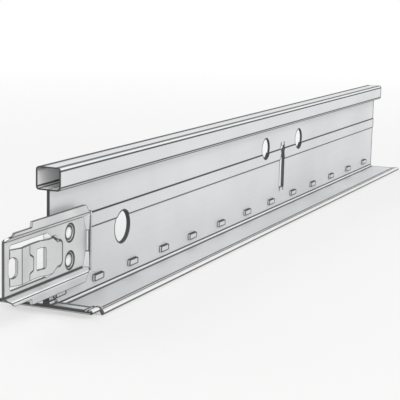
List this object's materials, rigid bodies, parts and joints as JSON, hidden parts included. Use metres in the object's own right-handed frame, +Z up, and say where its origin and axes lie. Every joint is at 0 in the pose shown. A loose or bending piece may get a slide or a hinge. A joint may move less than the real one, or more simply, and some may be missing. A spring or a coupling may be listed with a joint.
{
  "type": "ceiling grid cross tee",
  "caption": "Rolled steel tee with a hollow bulb, a stitched web and a capped flange, raised at one end, where a formed clip is clinched to the web.",
  "frame": {"origin": "bottom centre of the whole tee with its clip, on the plane of the face", "axes": "+X along the tee, away from the clip end; +Y through the web, away from the clip; +Z up from the face to the bulb"},
  "size_m": [0.2736, 0.024, 0.033],
  "materials": {
    "zinc_coated_steel": "satin",
    "painted_cap": "matte",
    "clip_steel": "satin"
  },
  "bodies": {
    "root": {"tee_body": "zinc_coated_steel", "face_cap": "painted_cap", "end_clip": "clip_steel"}
  },
  "joints": []
}
